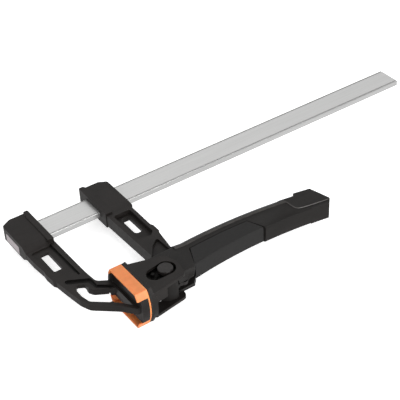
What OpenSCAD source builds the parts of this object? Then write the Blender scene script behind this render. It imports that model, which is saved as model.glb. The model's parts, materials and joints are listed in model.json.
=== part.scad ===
// Quick release bar clamp, lying flat.
// The origin is the middle of the fixed jaw's clamping face.
// +X runs along the bar to its free end, +Y from the jaws to the bar, +Z up.

/* [Bar] */
// Width of the bar across its wide faces
bar_w = 23; // [18:0.5:26]
// Thickness of the bar
bar_t = 5; // [4:0.25:6]
// Length from the fixed jaw's face to the bar's free end
bar_reach = 359; // [280:1:420]
// Width of the narrow lip outside each groove in the wide faces
groove_lip = 0.7; // [0.5:0.1:2]
// Width of those grooves
groove_w = 1.1; // [0.8:0.1:2]
// Depth of those grooves
groove_drop = 0.5; // [0.3:0.1:1]
// Radius of the bar's long edges
bar_edge = 0.5; // [0.3:0.1:0.8]

/* [Jaw faces] */
// Distance from the bar's near edge to the middle of the jaw faces
throat = 98.5; // [90:0.5:120]
// Length of a jaw face along Y, at its two long edges
face_h = 36.4; // [34:0.2:40]
// Width of a jaw face along Z
face_w = 34; // [32:0.5:38]
// How far the face's two ends bow out
face_bow = 5; // [3:0.5:6]
// Wall of the fixed jaw's slip-on cap
cap_wall = 1.5; // [1:0.1:2]
// How far the cap's lips reach back from the face
cap_lip = 10.6; // [9:0.2:13]
// Half-width of the opening between the cap's end lips
cap_window = 11; // [9:0.5:13]
// Thickness of the fixed jaw's plate behind the cap's face
plate_t = 6.2; // [4:0.1:8]
// Thickness of that plate's flanges, under the cap's lips
plate_flange_t = 2.5; // [2:0.25:4]
// How far the plate's end wall and rib reach back from the face
plate_wall = 10; // [8:0.5:11]
// Gap between the closed jaw faces
jaw_gap = 0.3; // [0.1:0.1:1]
// Thickness of the moving jaw's facing
pad_t = 1.7; // [1.2:0.1:2.4]
// Thickness of the moving jaw's plate behind its facing
shoe_plate_t = 4; // [3:0.25:4.5]
// Thickness of that plate's rims, outside the cheeks
shoe_rim_t = 1.8; // [1.4:0.1:3]

/* [Fixed head] */
// Distance from the jaw face back to the head's far end
head_back = 46.5; // [42:0.5:52]
// Distance from the jaw face back to the head's near face
head_front = 20.9; // [19:0.1:23]
// How far the heads reach past the bar's far edge
head_over = 10.5; // [8:0.5:12]
// How far the heads reach past the bar's near edge
head_under = 4.5; // [3:0.5:6]
// Length of the slope from each head down to its arm
head_slope = 6; // [4:0.5:8]
// Thickness of the fixed head
head_t = 12.8; // [11:0.2:15]
// Length of the bar that the fixed head holds, less its closed end
head_end_wall = 3.6; // [2.5:0.1:6]
// Width of the raised flange on the jaw side of each head
flange_w = 5.2; // [4:0.2:7]
// How far the flange stands above the head on each side
flange_rise = 0.8; // [0.4:0.1:1.2]
// Diameter of the two pins that hold the bar
roll_pin_d = 4; // [3:0.25:5]

/* [Arms] */
// Thickness of the arms' webs
web_t = 3.2; // [2.6:0.2:4]
// Thickness of the sliding arm over its rims
rim_t = 11; // [9:0.5:12]
// Thickness of the fixed arm over its rims
limb_t = 5.8; // [5:0.2:8]
// Depth of the curved groove in the fixed arm
groove_depth = 1; // [0.4:0.1:1.2]

/* [Sliding collar] */
// Length of the collar along the bar
collar_len = 23.9; // [20:0.1:30]
// Distance from the jaw face to the collar
collar_x = 29.6; // [28:0.1:31]
// Thickness of the collar
collar_t = 12.4; // [11:0.2:14]
// Clearance of the collar round the bar
slide_gap = 0.2; // [0.1:0.05:0.4]
// Gap between a bite plate and the bar's edge
bite_gap = 0.12; // [0.05:0.01:0.18]
// Size of a bite plate along the bar
bite_len = 4; // [3:0.25:6]
// Height of a bite plate, away from the bar
bite_depth = 2.6; // [2:0.1:3]
// Width of a bite plate
bite_wide = 7.6; // [6:0.2:9]

/* [Pivot] */
// Distance from the jaw face to the lever's pivot
pivot_x = 26.8; // [26:0.1:28]
// Distance of the pivot from the middle of the jaw face, along Y
pivot_y = -2.2; // [-4:0.1:0]
// Diameter of the pivot pin
pin_d = 8; // [7:0.25:8.5]
// Diameter of the pin's head
pin_head_d = 12.2; // [11:0.2:12.6]
// Height of the pin's head
pin_head_h = 3.4; // [2.8:0.1:4]
// Running clearance on a radius
run_gap = 0.04; // [0.02:0.01:0.08]

/* [Cam and lever swing] */
// Angle that the lever swings through
swing = 38; // [30:1:40]
// Travel of the pressure shoe over that swing
stroke = 7.5; // [6:0.25:8]
// Distance from the pivot to the cam's contact plane when closed
cam_reach = 20; // [19.5:0.1:20.5]
// Thickness of a cam plate
cam_t = 2.6; // [2:0.1:3]
// Clearance between the cam and the wear plate
cam_gap = 0.03; // [0.01:0.01:0.08]
// Thickness of the wear plate
wear_t = 2; // [1.5:0.1:2.5]

/* [Ratchet] */
// Radius of the ratchet's tooth tips
tooth_r = 15.4; // [15:0.1:15.5]
// Depth of a ratchet tooth
tooth_depth = 1.4; // [1:0.1:1.6]
// Angle between two teeth
tooth_pitch = 7.6; // [6:0.2:10]
// Thickness of the ratchet segment and the pawl
ratchet_t = 3; // [2.4:0.1:3.2]
// Diameter of the pawl's pin
pawl_pin_d = 4; // [3.4:0.1:4.4]

/* [Lever] */
// Distance from the jaw face to the lever's end
lever_reach = 184.8; // [160:0.2:210]
// Thickness of the lever's head
fork_t = 19.8; // [19:0.1:19.8]
// Gap between the two cheeks of the lever's head
fork_gap = 7; // [6.8:0.1:8]
// Thickness of the handle
grip_t = 16; // [14:0.5:18]
// Thickness of the handle's knob at its end
knob_t = 17.4; // [16:0.2:20]
// Radius of the handle's outer curve
outer_curve = 460; // [400:5:520]
// Radius of the handle's inner curve
inner_curve = 403; // [360:5:440]
// Width of the bevel along the handle's outer curve
bevel_w = 5; // [3:0.5:8]
// Depth of that bevel
bevel_drop = 1.65; // [1:0.05:2.5]
// Thickness of the soft grip
grip_skin = 1.8; // [1.2:0.1:2.4]
// Width of the groove round the soft grip
grip_groove = 0.5; // [0.3:0.1:0.8]

/* [Pressure shoe] */
// Thickness of the shoe's two cheeks
cheek_t = 2.5; // [2:0.1:3]
// Clearance between a cheek and the lever's head
cheek_gap = 0.1; // [0.05:0.05:0.3]
// Clearance of the shoe's slots round the pin's head
slot_gap = 1.8; // [1.2:0.1:2]

/* [Hidden] */

black = [0.21, 0.2, 0.19];
steel = [0.72, 0.73, 0.72];
orange = [0.91, 0.56, 0.32];
arc_steps = 6;
far = 400;

// Bar and heads
bar_y = throat + bar_w / 2;
bar_far = throat + bar_w;
bar_start = -(head_back - head_end_wall);
head_top = bar_far + head_over;
head_low = throat - head_under;
collar_end = collar_x + collar_len;
flange_top = head_top + 1.2;

// Jaw plates
plate_back = cap_wall + plate_t;
bow_r = (pow(face_w / 2, 2) + pow(face_bow, 2)) / (2 * face_bow);
cap_fit = 0.05;
shoe_face = jaw_gap + pad_t;
shoe_back = shoe_face + shoe_plate_t;

// Pivot, cam and ratchet
pivot = [pivot_x, pivot_y];
pin_r = pin_d / 2;
tongue_t = fork_gap - 0.6;
cam_base = stroke / (swing * PI / 180);
wear_face = pivot_x - cam_reach;
cheek_in = fork_t / 2 + cheek_gap;
root_r = tooth_r - tooth_depth;
segment_from = -17;
park_from = -8.6;
land_to = -1.8;
segment_to = 36;
segment_in = 8.9;
pawl_at = 13.4 * [cos(38), -sin(38)];
pawl_pin_half = 6.8;
nose_angle = 30;
nose_gap = 0.1;
spring_y = 15;
spring_wire = 0.3;
spring_r = 1.7;
loop_r = 1.45;
lug_half = 0.8;
lug_x = shoe_back + 2.2;
anchor_x = pivot_x + 5.7;
trigger_relief = 1.3;

// Lever curves
outer_crown = [81.5, 21.7];
inner_crown = [107.1, -4];
arch_half = 15.5;
fork_end = 46;
ramp_end = 56;
fork_wall = 50;
knob_rise = 1.4;
handle_step = 1.2;

// --- Outlines with rounded corners: [x, y, radius] in counter-clockwise order ---
function unit(v) = v / norm(v);

function arc_corner(a, b, c) =
    let (p = [b.x, b.y], u = unit([a.x, a.y] - p), v = unit([c.x, c.y] - p),
         half = acos(max(-1, min(1, u * v))) / 2)
    b[2] <= 0 || half > 88 ? [p] :
    let (mid = p + unit(u + v) * b[2] / sin(half),
         start = p + u * b[2] / tan(half),
         a0 = atan2(start.y - mid.y, start.x - mid.x),
         sweep = (180 - 2 * half) * (cross(u, v) < 0 ? 1 : -1))
    [for (k = [0:arc_steps]) mid + b[2] * [cos(a0 + sweep * k / arc_steps),
                                           sin(a0 + sweep * k / arc_steps)]];

function rounded(c) = [for (i = [0:len(c) - 1])
    each arc_corner(c[(i + len(c) - 1) % len(c)], c[i], c[(i + 1) % len(c)])];

function arc(r, a0, a1, steps = 12) =
    [for (k = [0:steps]) r * [cos(a0 + (a1 - a0) * k / steps), sin(a0 + (a1 - a0) * k / steps)]];

function around(points, centre) = [for (p = points) p + centre];

module slab(outline, z0, z1) {
    translate([0, 0, z0]) linear_extrude(z1 - z0) polygon(rounded(outline));
}

module level(outline, thickness) {
    slab(outline, -thickness / 2, thickness / 2);
}

module prism(points, z0, z1) {
    translate([0, 0, z0]) linear_extrude(z1 - z0) polygon(points);
}

module both_sides() {
    children();
    mirror([0, 0, 1]) children();
}

// A profile drawn in Y and Z, extruded along X
module along_x(x0, x1) {
    translate([x0, 0, 0]) rotate([90, 0, 90]) linear_extrude(x1 - x0) children();
}

// A wire: six-sided rings along points that wind round the X axis
module wire(path, r) {
    n = len(path);
    sides = 6;
    rings = [for (i = [0:n - 1])
        let (t = unit(path[min(i + 1, n - 1)] - path[max(i - 1, 0)]),
             side = unit(cross(t, [1, 0, 0])), up = cross(side, t))
        for (k = [0:sides - 1])
            path[i] + r * (side * cos(360 * k / sides) + up * sin(360 * k / sides))];
    walls = [for (i = [0:n - 2], k = [0:sides - 1])
        let (a = i * sides + k, b = i * sides + (k + 1) % sides)
        each [[a, b, b + sides], [a, b + sides, a + sides]]];
    polyhedron(rings, concat(walls, [[for (k = [sides - 1:-1:0]) k]],
        [[for (k = [0:sides - 1]) (n - 1) * sides + k]]), convexity = 10);
}

// --- Bar ---
module bar_section(grow = 0, corner = 0) {
    w = bar_w / 2 + grow;
    t = bar_t / 2 + grow;
    polygon(rounded([[bar_y - w, -t, corner], [bar_y + w, -t, corner],
                     [bar_y + w, t, corner], [bar_y - w, t, corner]]));
}

module bar() {
    color(steel) difference() {
        along_x(bar_start, bar_reach) bar_section(0, bar_edge);
        both_sides()
            for (y = [throat + groove_lip, bar_far - groove_lip - groove_w])
                translate([bar_start - 1, y, bar_t / 2 - groove_drop])
                    cube([bar_reach - bar_start + 2, groove_w, groove_drop + 1]);
    }
}

// --- Jaw face outline, drawn in Y and Z ---
module face_shape(inset = 0) {
    mid = face_h / 2 + face_bow - bow_r;
    intersection() {
        square([face_h + 2 * face_bow + 2, face_w - 2 * inset], center = true);
        translate([mid, 0]) circle(bow_r - inset, $fn = 96);
        translate([-mid, 0]) circle(bow_r - inset, $fn = 96);
    }
}

// --- Fixed jaw ---
fixed_outline = [
    [-plate_back + 1, -19.5, 0], [-plate_back + 1, 21, 0], [-10.4, 22.6, 8], [-18.2, 27.6, 6],
    [-19.3, 42, 30], [-head_front + 0.9, head_low, 0], [-head_back + 0.1, head_low, 0],
    [-46.3, 76, 10], [-45, 61.5, 8], [-45.5, 57, 2], [-44.7, 47, 1.5], [-43.3, 44.6, 1.5],
    [-40.9, 26.5, 30], [-39.1, 15.4, 10], [-35.8, 6.8, 8], [-17.7, -8.6, 10], [-9.9, -18.3, 2]];

fixed_upper_cell = [
    [-24.4, 44.5, 1.5], [-24.6, head_low - head_slope - 1.6, 1.5],
    [-43.4, head_low - head_slope - 1.6, 2.5], [-42.2, 57.4, 2], [-34.5, 50.4, 3]];

fixed_slot = [
    [-38, 57.3, 3], [-30.4, 57.3, 3], [-30.4, 82, 3], [-38, 82, 3]];

fixed_hole = [
    [-19.6, -1.6, 2.5], [-14.6, 13.9, 2.5], [-24.6, 19.8, 5], [-26.9, 23.8, 3],
    [-26.6, 30.4, 2], [-32, 33.5, 1.5], [-35.7, 27.5, 5], [-35.7, 18.5, 8], [-33.8, 10.2, 4]];

// A finger-wide groove down the arm and along its upper limb
fixed_groove = [
    [-9.4, 15.9, 0.6], [-21, 23.9, 4], [-22.2, 32.1, 1.5], [-36.9, 41, 1.2],
    [-39.2, 40, 1.2], [-37.6, 36.8, 1], [-31.6, 31.9, 0], [-26, 26.2, 4],
    [-24.6, 22, 4], [-12.9, 12.6, 0.6]];

module fixed_arm() {
    difference() {
        level(fixed_outline, limb_t);
        both_sides() slab(fixed_upper_cell, web_t / 2, far);
        both_sides() slab(fixed_groove, limb_t / 2 - groove_depth, far);
        level(fixed_slot, far);
        level(fixed_hole, far);
    }
}

// The slope between a head, t0 thick, and its arm, t1 thick
module head_foot(x0, x1, t0, t1) {
    along_x(x0, x1) polygon([[head_low, t0 / 2], [head_low - head_slope, t1 / 2],
        [head_low - head_slope, -t1 / 2], [head_low, -t0 / 2]]);
}

module fixed_head() {
    head_foot(-head_back, -head_front, head_t, limb_t);
    level([[-head_back, head_low, 0], [-head_front, head_low, 0],
           [-head_front, head_top, 1.5], [-head_back + 8.3, head_top, 4],
           [-head_back, head_top - 4.6, 2.5]], head_t);
    level([[-head_front - flange_w + 0.5, head_low - 5.5, 0.4],
           [-head_front + 0.5, head_low - 5.5, 0.4], [-head_front + 0.5, flange_top, 1.2],
           [-head_front - flange_w + 1.6, flange_top, 1.2],
           [-head_front - flange_w + 0.5, head_top - 4, 1]], head_t + 2 * flange_rise);
}

module roll_pin_places() {
    for (x = [bar_start + 5.5, -head_front - 5.5]) translate([x, bar_y, 0]) children();
}

// The plate seen along Z: it fills the cap's window and has a wall at its upper end
plate_profile = [
    [-cap_wall, -30, 0], [-cap_wall, 30, 0], [-plate_wall, 30, 0], [-plate_wall, 19.4, 0.8],
    [-plate_back, 18.4, 0.8], [-plate_back, -30, 0]];

module fixed_jaw() {
    color(black) difference() {
        union() {
            fixed_head();
            fixed_arm();
            along_x(-cap_wall - plate_flange_t, -cap_wall) face_shape(cap_wall + cap_fit);
            level([[-plate_wall, -17.8, 0.5], [-plate_back + 1, -19, 0],
                   [-plate_back + 1, 19, 0], [-plate_wall, 14, 1]], limb_t);
            intersection() {
                along_x(-plate_wall - 1, -cap_wall) face_shape();
                level(plate_profile, 2 * cap_window - 2 * cap_fit);
            }
        }
        along_x(bar_start, 0) bar_section();
        roll_pin_places() translate([0, 0, -far])
            cylinder(d = roll_pin_d, h = far + bar_t / 2 + 1.5, $fn = 32);
    }
}

module fixed_jaw_cap() {
    color(orange) difference() {
        along_x(-cap_lip, 0) face_shape();
        along_x(-cap_lip - 1, -cap_wall) face_shape(cap_wall);
        along_x(-cap_lip - 1, -cap_wall) square([far, 2 * cap_window], center = true);
    }
}

module head_roll_pins() {
    pin_low = -head_t / 2 + 0.2;
    color(steel) roll_pin_places() difference() {
        translate([0, 0, pin_low])
            cylinder(d = roll_pin_d - 0.04, h = -bar_t / 2 - pin_low, $fn = 32);
        translate([0, 0, pin_low - 1]) cylinder(d = roll_pin_d / 2, h = far, $fn = 24);
    }
}

// --- Sliding arm ---
arm_low = 22.4;
sliding_outline = [
    [30.6, arm_low + 1, 0.5], [48.4, arm_low, 0.5], [51.5, 44.6, 1.5], [52.7, 46.2, 0.6],
    [52.7, 54.4, 1.5], [51.4, 57.6, 1.5], [51.6, head_low, 0], [28.6, head_low, 0]];

sliding_upper_cell = [
    [33.2, 48, 2], [44, 45, 2], [48.3, 49, 2], [48.3, 84, 2], [32.7, 84, 2]];

sliding_slot = [
    [37.6, 58, 3], [44.8, 58, 3], [44.8, 82, 3], [37.6, 82, 3]];

sliding_lower_cell = [
    [30.2, arm_low - 4, 0], [46.6, arm_low - 4, 0], [46, 36.8, 1.5],
    [45, 38.8, 1], [37.6, 32.8, 4], [29.8, 21.4, 0]];

// The thin tongue that the lever's fork straddles, measured from the pivot
tongue_neck = [
    [3.8, 2, 0], [10.8, 3.5, 0], [12.9, 8.5, 2], [17.2, 16.2, 6],
    [22, 25.2, 0], [22, 30, 0], [3.8, 30, 0]];

module sector(r, a0, a1, z0, z1) {
    prism(concat([[0, 0]], arc(r, a0, a1)), z0, z1);
}

module segment_rivet_places() {
    for (a = [segment_from + 12, segment_to - 12])
        translate([pivot.x + 11.3 * cos(a), pivot.y + 11.3 * sin(a), 0]) children();
}

module sliding_tongue() {
    translate(pivot) difference() {
        union() {
            level(tongue_neck, tongue_t);
            cylinder(r = 8.6, h = tongue_t, center = true, $fn = 64);
            sector(12.9, segment_from - 3, segment_to + 6, -tongue_t / 2, tongue_t / 2);
        }
        difference() {
            sector(24, segment_from - 4, segment_to + 2,
                -ratchet_t / 2 - 0.02, ratchet_t / 2 + 0.02);
            cylinder(r = segment_in, h = far, center = true, $fn = 64);
        }
    }
}

// One bite plate lies over the bar's far edge and one under its near edge
module bite_places(grow = 0) {
    for (corner = [[collar_x + 1, bar_far + bite_gap],
                   [collar_end - 1 - bite_len, throat - bite_gap - bite_depth]])
        translate([corner.x - grow, corner.y, -bite_wide / 2 - grow])
            cube([bite_len + 2 * grow, bite_depth + grow, bite_wide + 2 * grow]);
}

module collar() {
    head_foot(collar_x, collar_end, collar_t, rim_t);
    level([[collar_x, head_low, 0], [collar_end, head_low, 0],
           [collar_end, head_top - 4.4, 2.5], [collar_end - 7, head_top - 0.4, 3],
           [collar_x, head_top - 0.4, 1]], collar_t);
    level([[collar_x - 1.4, head_low - 5.5, 0.4], [collar_x + flange_w, head_low - 5.5, 0.4],
           [collar_x + flange_w, head_top - 4, 1], [collar_x + flange_w - 2, flange_top - 0.2, 1.2],
           [collar_x - 1.4, flange_top - 0.2, 1.2]], collar_t + 2 * flange_rise);
}

module sliding_arm() {
    color(black) difference() {
        union() {
            collar();
            difference() {
                level(sliding_outline, rim_t);
                both_sides() slab(sliding_upper_cell, web_t / 2, far);
                both_sides() slab(sliding_lower_cell, tongue_t / 2, far);
            }
            sliding_tongue();
        }
        level(sliding_slot, far);
        along_x(collar_x - 3, collar_end + 1) bar_section(slide_gap);
        bite_places(0.001);
        translate([collar_x + 8, throat - slide_gap - 1.6, -bar_t / 2])
            cube([collar_len - 13.5, 2, bar_t]);
        translate([pivot.x, pivot.y, -far / 2]) cylinder(d = pin_d, h = far, $fn = 64);
        segment_rivet_places() cylinder(d = 2, h = far, center = true, $fn = 24);
        translate([anchor_x, spring_y, -far / 2]) cylinder(d = 2.2, h = far, $fn = 24);
        both_sides() translate([pivot.x + 2, spring_y - 2.4, lug_half])
            cube([anchor_x - pivot.x - 0.7, 4.8, tongue_t]);
    }
}

module bite_plates() {
    color(steel) bite_places();
}

module brake_spring() {
    x0 = collar_x + 8.2;
    x1 = collar_end - 5.7;
    low = throat - slide_gap - 1.6;
    rise = slide_gap + 1.6 - 0.3 - 0.4;
    bend = [for (k = [0:12]) [x0 + (x1 - x0) * k / 12, low + rise * sin(180 * k / 12)]];
    color(steel) prism(concat(bend, [for (k = [12:-1:0]) bend[k] + [0, 0.4]]), -2.2, 2.2);
}

module pivot_pin() {
    seat = fork_t / 2 + 0.05;
    top = seat + pin_head_h;
    tail = pin_r - 1;
    color(steel) translate(pivot) rotate_extrude($fn = 64)
        polygon([[0, -top + 0.4], [tail - 0.3, -top + 0.4], [tail, -top + 0.7], [tail, -seat],
                 [pin_r, -seat], [pin_r, seat], [pin_head_d / 2, seat],
                 [pin_head_d / 2, top - 0.5], [pin_head_d / 2 - 0.5, top], [0, top]]);
}

module pivot_ring() {
    seat = fork_t / 2 + 0.05;
    color(steel) translate([pivot.x, pivot.y, -seat - 2.4]) difference() {
        cylinder(d = pin_head_d, h = 2.4, $fn = 64);
        translate([0, 0, -1]) cylinder(r = pin_r - 1, h = 5, $fn = 64);
    }
}

module ratchet_segment() {
    teeth = floor((segment_to - land_to) / tooth_pitch);
    edge = [for (k = [0:teeth - 1]) let (a = land_to + 0.4 + k * tooth_pitch)
        each [root_r * [cos(a), sin(a)],
              tooth_r * [cos(a + tooth_pitch - 0.6), sin(a + tooth_pitch - 0.6)]]];
    last = land_to + 0.4 + teeth * tooth_pitch;
    color(steel) difference() {
        translate(pivot) prism(concat(arc(tooth_r, segment_from, park_from),
            [root_r * [cos(park_from + 0.4), sin(park_from + 0.4)]], edge,
            [root_r * [cos(last), sin(last)], root_r * [cos(segment_to), sin(segment_to)]],
            arc(segment_in + 0.02, segment_to, segment_from)), -ratchet_t / 2, ratchet_t / 2);
        segment_rivet_places() cylinder(d = 2, h = far, center = true, $fn = 24);
    }
}

module segment_rivets() {
    color(steel) segment_rivet_places() cylinder(d = 1.98, h = tongue_t, center = true, $fn = 24);
}

// --- Lever ---
// A curved bar: its profile is given as [distance past the curve, height]
module arch(crown, radius, profile) {
    translate([crown.x, crown.y - radius, 0]) rotate([0, 0, 90 - arch_half])
        rotate_extrude(angle = 2 * arch_half, $fn = 360)
            polygon([for (p = profile) [radius + p.x, p.y]]);
}

module outer_arch(half, drop, wide, rise = 0) {
    arch(outer_crown, outer_curve + rise, [[-50, -half], [-wide, -half], [0, drop - half],
        [0, half - drop], [-wide, half], [-50, half]]);
}

module inner_arch(half, inset, edge) {
    arch(inner_crown, inner_curve, [[inset, edge - half], [inset + edge * 0.3, 0.3 * edge - half],
        [inset + edge, -half], [60, -half], [60, half], [inset + edge, half],
        [inset + edge * 0.3, half - 0.3 * edge], [inset, half - edge]]);
}

knob_front = lever_reach - 41;
knob_step = lever_reach - 19.6;

// The knob's raised face starts along a curve, its outer edge at a step
knob_face = [
    [knob_front + 22, -7.6, 6], [knob_step + 10, -16, 0], [knob_step + 10, 18, 0],
    [knob_front - 0.5, 15.5, 0], [knob_front + 6.5, 10.6, 4], [knob_front + 10, 3, 8]];

knob_region = [
    [knob_step, -18, 0], [lever_reach - 8.6, -18, 0], [lever_reach + 1.5, -7, 2.5],
    [lever_reach - 1.5, 2.9, 20], [lever_reach - 4.7, 12.4, 1.2], [knob_step, 17, 0]];

handle_region = [
    [47.6, -9.4, 0.5], [knob_step + 2, -18, 0], [knob_step + 2, 26, 0], [62, 26, 0],
    [60, 21, 0], [47.6, 18.3, 0]];

// Past the grip the handle stands out a little further on its inner side
tail_region = [
    [lever_reach - 61.4 + 2 * grip_groove, -18, 0], [knob_step + 2, -18, 0],
    [knob_step + 2, 8, 0], [lever_reach - 66.2 + 2 * grip_groove, 0, 0]];

grip_region = [
    [50.8, -16, 0], [lever_reach - 61.4, -16, 0], [lever_reach - 65.2, -3.8, 1.5],
    [lever_reach - 71.1, 10.2, 1], [lever_reach - 95, 11.3, 30], [58.3, 10.4, 0.8],
    [50.6, -7, 1.5]];

grip_hole = [
    [50.6 - grip_groove, -16.5, 0], [lever_reach - 61.4 + 2 * grip_groove, -16.5, 0],
    [lever_reach - 65.2 + 2 * grip_groove, -3.6, 1.5],
    [lever_reach - 71.1 + grip_groove, 10.2 + grip_groove, 1],
    [lever_reach - 95, 11.3 + grip_groove, 30], [58.1 - grip_groove, 10.4 + grip_groove, 0.8],
    [50.6 - grip_groove, -7, 1.5]];

module handle_solid() {
    intersection() {
        outer_arch(grip_t / 2, bevel_drop, bevel_w);
        union() {
            inner_arch(grip_t / 2, 0, 1.8);
            intersection() {
                inner_arch(grip_t / 2, -handle_step, 1.8);
                level(tail_region, far);
            }
        }
        level(handle_region, far);
    }
}

module grip_core(gap = 0) {
    intersection() {
        outer_arch(grip_t / 2 - grip_skin, 0.1, 0.1);
        inner_arch(grip_t / 2 - grip_skin, grip_skin - gap, 0.6);
        level(handle_region, far);
    }
}

module knob() {
    intersection() {
        union() {
            intersection() {
                outer_arch(knob_t / 2, bevel_drop, bevel_w, 0.02);
                level(knob_face, far);
            }
            intersection() {
                outer_arch(knob_t / 2, 1.2, 1.2, knob_rise);
                level(knob_region, far);
            }
        }
        inner_arch(knob_t / 2, -handle_step - 0.02, 1.8);
    }
}

// Outline of the fork's cheeks, measured from the pivot
fork_front = 12;
fork_boss = 8.8;
function fork_outline() = concat(
    [[31, -15] - pivot, [44.6, -14.4] - pivot, [48.8, -9.6] - pivot, [51, -7.8] - pivot,
     [ramp_end + 2, -6.6] - pivot, [ramp_end + 2, 20.4] - pivot, [48, 18.3] - pivot,
     [24, 17.6] - pivot, [22, 16] - pivot],
    arc(fork_front, 138, 188), arc(fork_boss, 188, 292, 16),
    [[31, -9.6] - pivot]);

// Half of the fork's cross-section in Y and Z
fork_half = [
    [-15.1, -12], [-15.1, fork_gap / 2], [-11.5, fork_t / 2],
    [outer_crown.y - bevel_w, fork_t / 2], [outer_crown.y, fork_t / 2 - bevel_drop],
    [outer_crown.y, -12]];

module fork_solid() {
    ramp = atan((fork_t - grip_t) / 2 / (ramp_end - fork_end));
    both_sides() intersection() {
        translate([pivot.x, pivot.y, 0]) prism(fork_outline(), 0, fork_t / 2);
        along_x(0, 80) polygon(fork_half);
        translate([fork_end, 0, fork_t / 2]) rotate([0, ramp, 0])
            translate([-60, -30, -30]) cube([100, 80, 30]);
        translate([fork_end, 0, fork_t / 2]) rotate([0, ramp, 0])
            translate([0, 0, -fork_t / 2]) along_x(-60, 40) polygon([for (p = fork_half)
                p.x > 0 && p.y > 0 ? p : [p.x, p.y > 0 ? p.y + 3 : p.y]]);
    }
}

function cam_point(b) =
    cam_base * [cos(b), sin(b)]
    + (cam_reach - cam_gap - cam_base * (b - 90) * PI / 180) * [-sin(b), cos(b)];

cam_outline = concat(
    [for (b = [84:2:90 + swing + 3]) cam_point(b)],
    [[-14.6, -0.8], [-8.6, -1.2]], arc(7, 200, 420, 20), [[-4, 11.5], [-12, 15.4], [-17.8, 15.4],
     [-19.2, 14.7]]);

module cam_rivet_places() {
    for (p = [[-9.4, 11.2], [-9.8, 3]]) translate([pivot.x + p.x, pivot.y + p.y, 0]) children();
}

module lever_body() {
    color(black) difference() {
        union() {
            difference() {
                union() {
                    fork_solid();
                    handle_solid();
                }
                difference() {
                    level(grip_hole, far);
                    grip_core();
                }
            }
            knob();
        }
        translate([0, -100, -fork_gap / 2]) cube([fork_wall, 200, fork_gap]);
        both_sides() translate(pivot) prism(cam_outline, 0, fork_gap / 2 + 0.1 + cam_t);
        translate([pivot.x, pivot.y, -far / 2]) cylinder(r = pin_r + run_gap, h = far, $fn = 64);
        cam_rivet_places() cylinder(d = 3, h = far, center = true, $fn = 32);
        translate([pivot.x + pawl_at.x, pivot.y + pawl_at.y, 0])
            cylinder(d = pawl_pin_d, h = 2 * pawl_pin_half, center = true, $fn = 48);
    }
}

module grip_sleeve() {
    color(black) difference() {
        intersection() {
            handle_solid();
            level(grip_region, far);
        }
        grip_core(cap_fit);
    }
}

module cam_plates() {
    color(steel) both_sides() difference() {
        translate(pivot) prism(cam_outline, fork_gap / 2 + 0.1, fork_gap / 2 + 0.1 + cam_t);
        translate([pivot.x, pivot.y, -1]) cylinder(r = pin_r + run_gap, h = far, $fn = 64);
        cam_rivet_places() cylinder(d = 3, h = far, $fn = 32);
    }
}

module cam_rivets() {
    color(steel) both_sides() cam_rivet_places()
        translate([0, 0, fork_gap / 2 + 0.1]) cylinder(d = 2.98, h = fork_t / 2 - fork_gap / 2 - 0.1, $fn = 32);
}

module pawl_pin() {
    color(steel) translate([pivot.x + pawl_at.x, pivot.y + pawl_at.y, 0])
        cylinder(d = pawl_pin_d - 0.04, h = 2 * pawl_pin_half - 0.1, center = true, $fn = 48);
}

module pawl_spring() {
    x0 = pivot.x + 19.3;
    turns = 4;
    path = [for (k = [0:turns * 10]) [x0 + 0.25 + (fork_wall - x0 - 0.5) * k / (turns * 10),
        1 + 1.3 * cos(36 * k), 1.3 * sin(36 * k)]];
    color(steel) wire(path, 0.25);
}

// --- Pawl with its release trigger, measured from the pivot ---
hook_in = tooth_r + 1.3;
hook_outer = [
    [17.6, -7.6], [19, -3.6], [19.2, 0.8], [18.6, 5.6], [17, 8.8], [15.6, 10.3]];
trigger_from = -77;
trigger_to = -150;
trigger_in = 11.2;
trigger_out = 13.3;
tail_out = 12.4;

module pawl_shape() {
    nose = (tooth_r + nose_gap) * [cos(nose_angle), sin(nose_angle)];
    polygon(concat([pawl_at + [1.2, -3.4]], hook_outer, [nose],
        [hook_in * [cos(nose_angle - 1), sin(nose_angle - 1)]],
        arc(hook_in, nose_angle - 4, -26, 10), [pawl_at + [-1.2, 3]], [pawl_at + [-3.4, 0.2]]));
    translate(pawl_at) circle(3.7, $fn = 40);
    polygon(concat([pawl_at + [1, -3.2]], [pawl_at + [-3, 1.6]],
        arc(trigger_in + 0.02, trigger_from + 16, -125, 8), arc(tail_out, -125, trigger_from + 14, 8)));
}

module pawl() {
    color(steel) translate(pivot) difference() {
        translate([0, 0, -ratchet_t / 2]) linear_extrude(ratchet_t) pawl_shape();
        translate(pawl_at) cylinder(r = pawl_pin_d / 2 + run_gap, h = far, center = true, $fn = 48);
    }
}

module release_trigger() {
    color(black) translate(pivot) difference() {
        prism(concat(arc(trigger_out, trigger_to, trigger_from, 16),
            arc(trigger_in, trigger_from, trigger_to, 16)), -fork_t / 2 + 0.3, fork_t / 2 - 0.3);
        prism(concat(arc(tail_out, -125, trigger_from + 14, 8),
            arc(trigger_in - 2, trigger_from + 16, -125, 8)), -ratchet_t / 2, ratchet_t / 2);
    }
}

// --- Pressure shoe ---
cheek_outline = [
    [shoe_back - 1, -21.3, 0], [pivot.x + 9, pivot.y - 14.6, 4], [pivot.x + 11.8, pivot.y + 0.7, 12],
    [pivot.x + 7.7, pivot.y + 13.2, 5], [shoe_back - 1, 19.6, 0]];

// The pin head's slot: two round ends joined by straight sides
module slot_shape() {
    r1 = pin_head_d / 2 + slot_gap;
    r2 = pin_head_d / 2 + slot_gap / 2;
    far_end = [-stroke - 2.5, -0.8];
    near_end = [0.6, 0];
    run = near_end - far_end;
    turn = atan2(run.y, run.x);
    lean = acos((r2 - r1) / norm(run));
    polygon(around(concat(around(arc(r1, turn - 180 + lean, turn + 180 - lean, 24), near_end),
        around(arc(r2, turn + 180 - lean, turn + 180 + lean, 16), far_end)), pivot));
}

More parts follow.
